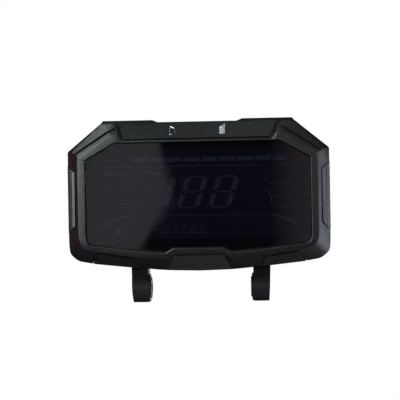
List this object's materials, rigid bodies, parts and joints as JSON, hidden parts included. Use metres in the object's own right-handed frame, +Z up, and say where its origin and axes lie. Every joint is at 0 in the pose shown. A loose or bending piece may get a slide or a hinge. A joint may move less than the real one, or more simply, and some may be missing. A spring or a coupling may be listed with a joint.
{
  "type": "instrument cluster",
  "caption": "Faceted motorcycle instrument cluster: smoked lens over a display, two push keys in the lower rim, a rear case and bolt legs below.",
  "frame": {"origin": "middle of the bolt axis that runs through both leg eyes", "axes": "+X to the right for someone who reads the display, +Z up, the display faces -Y"},
  "size_m": [0.1606, 0.042, 0.1123],
  "materials": {
    "bezel_plastic": "fine moulded texture, semi-matt",
    "trim_plastic": "fine knurled texture",
    "key_plastic": "fine moulded texture",
    "badge_chrome": "satin",
    "lens_acrylic": "polished, smoked",
    "gasket_foam": "closed-cell foam tape",
    "mask_film": "printed film",
    "lcd_glass": "negative display glass",
    "diffuser_film": "frosted film",
    "guide_acrylic": "clear acrylic",
    "reflector_film": "white film",
    "holder_plastic": "moulded",
    "circuit_board": "solder mask over glass fibre laminate",
    "led_package": "moulded package",
    "zebra_rubber": "layered conductive silicone",
    "chip_epoxy": "moulded package",
    "component_metal": "drawn can",
    "switch_body": "moulded",
    "socket_nylon": "moulded nylon",
    "pin_brass": "tinned pins",
    "seal_rubber": "moulded silicone",
    "case_plastic": "moulded texture",
    "screw_steel": "black zinc",
    "leg_plastic": "moulded, glass filled",
    "bush_rubber": "moulded",
    "spacer_steel": "black oxide",
    "vent_plastic": "moulded"
  },
  "bodies": {
    "housing": {"front_bezel": "bezel_plastic", "lens": "lens_acrylic", "lens_gasket": "gasket_foam", "display_mask": "mask_film", "lcd_panel": "lcd_glass", "diffuser_sheet": "diffuser_film", "light_guide": "guide_acrylic", "reflector_sheet": "reflector_film", "lcd_frame": "holder_plastic", "zebra_strip": "zebra_rubber", "backlight_strip": "circuit_board", "main_pcb": "circuit_board", "mcu_chip": "chip_epoxy", "lcd_driver_chip": "chip_epoxy", "crystal": "component_metal", "voltage_regulator": "chip_epoxy", "capacitor_1": "component_metal", "capacitor_2": "component_metal", "wire_socket": "socket_nylon", "pin_header": "pin_brass", "socket_seal": "seal_rubber", "case_seal": "seal_rubber", "rear_case": "case_plastic", "vent_plug": "vent_plastic", "backlight_led_1": "led_package", "leg_screw_1": "screw_steel", "backlight_led_2": "led_package", "leg_screw_2": "screw_steel", "backlight_led_3": "led_package", "leg_screw_3": "screw_steel", "backlight_led_4": "led_package", "leg_screw_4": "screw_steel", "case_screw_1": "screw_steel", "case_screw_2": "screw_steel", "case_screw_3": "screw_steel", "case_screw_4": "screw_steel", "case_screw_5": "screw_steel", "case_screw_6": "screw_steel", "pcb_screw_1": "screw_steel", "pcb_screw_2": "screw_steel", "pcb_screw_3": "screw_steel", "left_switch": "switch_body", "left_side_trim": "trim_plastic", "left_badge": "badge_chrome", "left_leg": "leg_plastic", "left_bush": "bush_rubber", "left_spacer": "spacer_steel", "right_switch": "switch_body", "right_side_trim": "trim_plastic", "right_badge": "badge_chrome", "right_leg": "leg_plastic", "right_bush": "bush_rubber", "right_spacer": "spacer_steel"},
    "left_key": {"left_key": "key_plastic"},
    "right_key": {"right_key": "key_plastic"},
    "left_plunger": {"left_plunger": "switch_body"},
    "right_plunger": {"right_plunger": "switch_body"}
  },
  "joints": [
    {"name": "left_key_push", "type": "slide", "parent": "housing", "child": "left_key", "axis": [0, 1, 0], "range_m": [0, 0.0008], "stiffness_N_per_m": 1500, "springref_m": -0.0004},
    {"name": "left_plunger_push", "type": "slide", "parent": "housing", "child": "left_plunger", "axis": [0, 1, 0], "range_m": [0, 0.0008], "stiffness_N_per_m": 50},
    {"name": "right_key_push", "type": "slide", "parent": "housing", "child": "right_key", "axis": [0, 1, 0], "range_m": [0, 0.0008], "stiffness_N_per_m": 1500, "springref_m": -0.0004},
    {"name": "right_plunger_push", "type": "slide", "parent": "housing", "child": "right_plunger", "axis": [0, 1, 0], "range_m": [0, 0.0008], "stiffness_N_per_m": 50}
  ],
  "couplings": [
    {"joint": "left_plunger_push", "follows": "left_key_push", "ratio": 1},
    {"joint": "right_plunger_push", "follows": "right_key_push", "ratio": 1}
  ]
}
